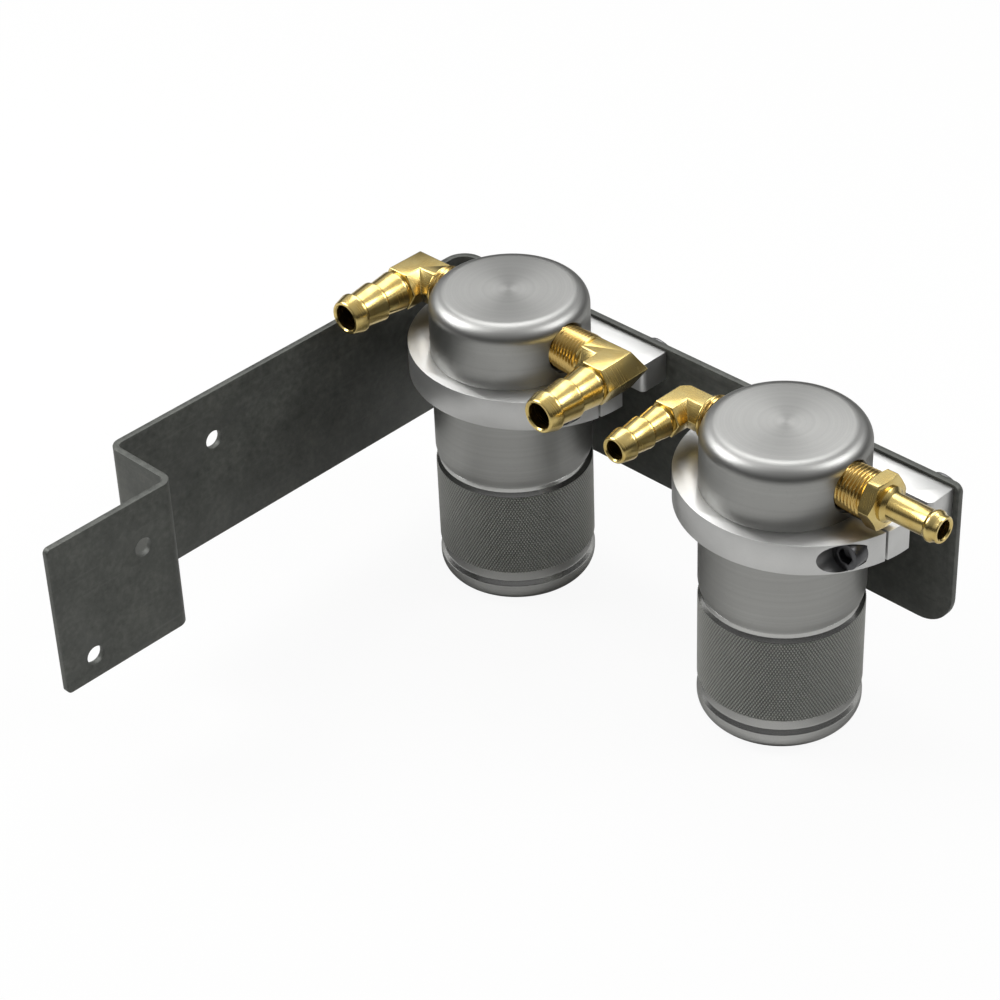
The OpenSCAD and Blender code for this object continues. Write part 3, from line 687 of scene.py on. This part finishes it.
ALU = turned_aluminium("turned_aluminium", (0.315, 0.315, 0.306), 0.40, 0.45)
CUP_SMOOTH = turned_aluminium("cup_aluminium", (0.46, 0.46, 0.45), 0.22, 0.3)
# The second colour is painted shade for the knurl's furrows.
KNURL = knurled_aluminium("knurled_aluminium", (0.52, 0.525, 0.50), (0.20, 0.202, 0.19), 0.36)
PLATE = milled_aluminium("milled_aluminium", (0.56, 0.56, 0.55), 0.42)
PLATE_EDGE = milled_aluminium("milled_edge", (0.56, 0.56, 0.555), 0.44)
# Dark copy of the milled plate for the counterbore's wall and seat: painted shade in the recess round the
# screw head.
COUNTERBORE_SHADE = milled_aluminium("counterbore_painted_shade", (0.16, 0.16, 0.16), 0.45)
BRASS_COLOUR = (0.62, 0.49, 0.20)
BRASS = brass_material("brass", BRASS_COLOUR, 0.2, 1, 11.6)
BRASS_X = brass_material("brass_straight", BRASS_COLOUR, 0.2, 0, -0.2)
SCALE = mill_scale("mill_scale")
SCREW = steel("blackened_steel", (0.10, 0.10, 0.105), 0.34)
ZINC = steel("zinc_plated_steel", (0.20, 0.20, 0.205), 0.36)
BRIGHT = steel("bright_steel", (0.50, 0.51, 0.52), 0.32)
RUBBER = rubber_material("rubber")
WOOL = wire_wool("wire_mesh")


def finish_clamp(obj, centre_x):
    """Gives the clamp's sides their own finish, and paints shade into the counterbore of its screw with a
    dark material.
    """
    obj.data.materials.append(PLATE_EDGE)
    obj.data.materials.append(COUNTERBORE_SHADE)
    for p in obj.data.polygons:
        x, y, z = (v / MM for v in p.center)
        out = Vector((x - centre_x - CLAMP_SCREW_X, 0, z - CLAMP_MID))
        wall = out.length > 1 and p.normal.dot(out.normalized()) < -0.7
        seat = abs(y - CLAMP_SEAT_Y) < 0.2 and abs(p.normal.y) > 0.9
        # The counterbore's wall and seat take the dark material: painted shade.
        if out.length < COUNTERBORE_R + 0.15 and y < -0.6 and (wall or seat):
            p.material_index = 2
        elif abs(p.normal.z) < 0.5:
            p.material_index = 1


for side in ("left", "right"):
    place(can_body(side), ROOT, side + "_body", ALU)
    piece, knurled = cup(side)
    place(piece, side + "_cup", side + "_cup", CUP_SMOOTH)
    piece.data.materials.append(KNURL)
    piece.data.polygons.foreach_set("material_index", [1 if k else 0 for k in knurled])
    plate = from_node(side + "_clamp", side + "_split_clamp", 0.3)
    place(plate, ROOT, side + "_clamp", PLATE)
    finish_clamp(plate, CAN_X[side])
    screw = from_node(side + "_clamp_screw", side + "_socket_screw", 0.25)
    place(screw, ROOT, side + "_clamp_screw", SCREW)
    screws = from_node(side + "_bracket_screws", side + "_flanged_screws", 0.2)
    place(screws, ROOT, side + "_bracket_screws", ZINC)
    hidden = {"_seal": RUBBER, "_baffle": BRIGHT, "_mesh_pad": WOOL, "_retaining_ring": BRIGHT}
    for node, material in hidden.items():
        obj = nodes[side + node]
        obj.data.materials.clear()
        obj.data.materials.append(material)

place(from_node("bracket", "folded_bracket", 0.25), ROOT, "bracket", SCALE)

# Sizes of the two kinds of elbow, in millimetres
large = dict(af=14.4, leg=11.4, thread_l=15.5, l=38, root=12.9, crest=14.9, tip=12.3, lead=4.2, land=0.8,
             bore_d=9.5, port_bore_d=9.4)
small = dict(af=12, leg=11.4, thread_l=12.5, l=36.2, root=10, crest=11.8, tip=9.5, lead=5.2, land=0.7,
             bore_d=7, port_bore_d=6.8, round_r=18.93)
HALF_TURN = Matrix.Rotation(math.pi, 4, "Y")

outlet = elbow("left_outlet_barb", **large)
inlet = bpy.data.objects.new("left_inlet_barb", outlet.data.copy())
scene.collection.objects.link(inlet)
inlet.data.transform(HALF_TURN)
outlet.location = Vector((CAN_X["left"] + 49.8, 0, PORT_Z)) * MM
inlet.location = Vector((CAN_X["left"] - 44.5, 0, PORT_Z)) * MM
place(outlet, ROOT, "left_outlet_elbow", BRASS)
place(inlet, ROOT, "left_inlet_elbow", BRASS)
small_elbow = elbow("right_inlet_barb", **small)
small_elbow.data.transform(HALF_TURN)
small_elbow.location = Vector((CAN_X["right"] - 43.2, 0, PORT_Z)) * MM
place(small_elbow, ROOT, "right_inlet_elbow", BRASS)
straight = straight_fitting("right_outlet_spout")
straight.location = Vector((CAN_X["right"] + 37.2, 0, PORT_Z)) * MM
place(straight, ROOT, "right_outlet_fitting", BRASS_X)


FLOOR_REACH, FLOOR_Z = 6, -0.0002


def make_floor():
    """Pale floor that keeps the shadow: the camera sees it mostly by its own even glow."""
    mesh = bpy.data.meshes.new("floor")
    corners = [(-1, -1), (1, -1), (1, 1), (-1, 1)]
    mesh.from_pydata([(FLOOR_REACH * x, FLOOR_REACH * y, FLOOR_Z) for x, y in corners], [], [(0, 1, 2, 3)])
    obj = bpy.data.objects.new("floor", mesh)
    scene.collection.objects.link(obj)
    mat = bpy.data.materials.new("pale_floor")
    mat.use_nodes = True
    tree = mat.node_tree
    tree.nodes.clear()
    out = tree.nodes.new("ShaderNodeOutputMaterial")
    mix = tree.nodes.new("ShaderNodeMixShader")
    diffuse = tree.nodes.new("ShaderNodeBsdfDiffuse")
    glow = tree.nodes.new("ShaderNodeEmission")
    path = tree.nodes.new("ShaderNodeLightPath")
    diffuse.inputs["Color"].default_value = (0.62, 0.62, 0.61, 1)
    glow.inputs["Color"].default_value = (1, 1, 1, 1)
    glow.inputs["Strength"].default_value = 1.0
    seen = tree.nodes.new("ShaderNodeMath")
    seen.operation = "MAXIMUM"
    tree.links.new(path.outputs["Is Camera Ray"], seen.inputs[0])
    tree.links.new(path.outputs["Is Transmission Ray"], seen.inputs[1])
    part = tree.nodes.new("ShaderNodeMath")
    part.operation = "MULTIPLY"
    tree.links.new(seen.outputs[0], part.inputs[0])
    part.inputs[1].default_value = 0.93
    tree.links.new(part.outputs[0], mix.inputs[0])
    tree.links.new(diffuse.outputs[0], mix.inputs[1])
    tree.links.new(glow.outputs[0], mix.inputs[2])
    tree.links.new(mix.outputs[0], out.inputs[0])
    mesh.materials.append(mat)


LIGHT_AIM = Vector((0.06, -0.02, 0.07))


def softbox(name, azimuth, elevation, distance, width, height, power):
    """Area lamp that faces the object. Azimuth 0 stands on the -Y side and 90 on the +X side."""
    a, e = math.radians(azimuth), math.radians(elevation)
    out = Vector((math.sin(a) * math.cos(e), -math.cos(a) * math.cos(e), math.sin(e)))
    data = bpy.data.lights.new(name, "AREA")
    data.shape, data.size, data.size_y, data.energy = "RECTANGLE", width, height, power
    obj = bpy.data.objects.new(name, data)
    obj.location = LIGHT_AIM + out * distance
    obj.rotation_euler = (-out).to_track_quat("-Z", "Y").to_euler()
    scene.collection.objects.link(obj)


def make_world():
    """Even studio light from above, darker below and on the camera's side."""
    world = bpy.data.worlds.new("studio")
    scene.world = world
    world.use_nodes = True
    tree = world.node_tree
    tree.nodes.clear()
    out = tree.nodes.new("ShaderNodeOutputWorld")
    back = tree.nodes.new("ShaderNodeBackground")
    coords = tree.nodes.new("ShaderNodeTexCoord")
    split = tree.nodes.new("ShaderNodeSeparateXYZ")
    ramp = tree.nodes.new("ShaderNodeValToRGB")
    tree.links.new(coords.outputs["Generated"], split.inputs[0])
    tree.links.new(split.outputs[2], ramp.inputs[0])
    elements = ramp.color_ramp.elements
    elements[0].position, elements[0].color = 0.0, (0.10, 0.10, 0.10, 1)
    elements[1].position, elements[1].color = 1.0, (0.80, 0.80, 0.80, 1)
    low = elements.new(0.28)
    low.color = (0.12, 0.12, 0.12, 1)
    high = elements.new(0.5)
    high.color = (0.75, 0.75, 0.75, 1)
    toward = tree.nodes.new("ShaderNodeVectorMath")
    toward.operation = "DOT_PRODUCT"
    toward.inputs[1].default_value = (0.64, -0.77, 0.0)
    tree.links.new(coords.outputs["Generated"], toward.inputs[0])
    shade = tree.nodes.new("ShaderNodeMapRange")
    tree.links.new(toward.outputs["Value"], shade.inputs[0])
    for i, v in enumerate((0.0, 0.8, 1.0, 0.45)):
        shade.inputs[i + 1].default_value = v
    dark = tree.nodes.new("ShaderNodeVectorMath")
    dark.operation = "SCALE"
    tree.links.new(ramp.outputs[0], dark.inputs[0])
    tree.links.new(shade.outputs[0], dark.inputs["Scale"])
    tree.links.new(dark.outputs[0], back.inputs["Color"])
    back.inputs["Strength"].default_value = 1.0
    tree.links.new(back.outputs[0], out.inputs["Surface"])


make_camera()
make_floor()
make_world()
softbox("softbox_left", 300, 42, 1.0, 0.5, 0.55, 7)
softbox("softbox_right", 130, 45, 1.0, 0.4, 0.4, 4)
softbox("softbox_top", 225, 60, 1.1, 0.8, 0.6, 5)
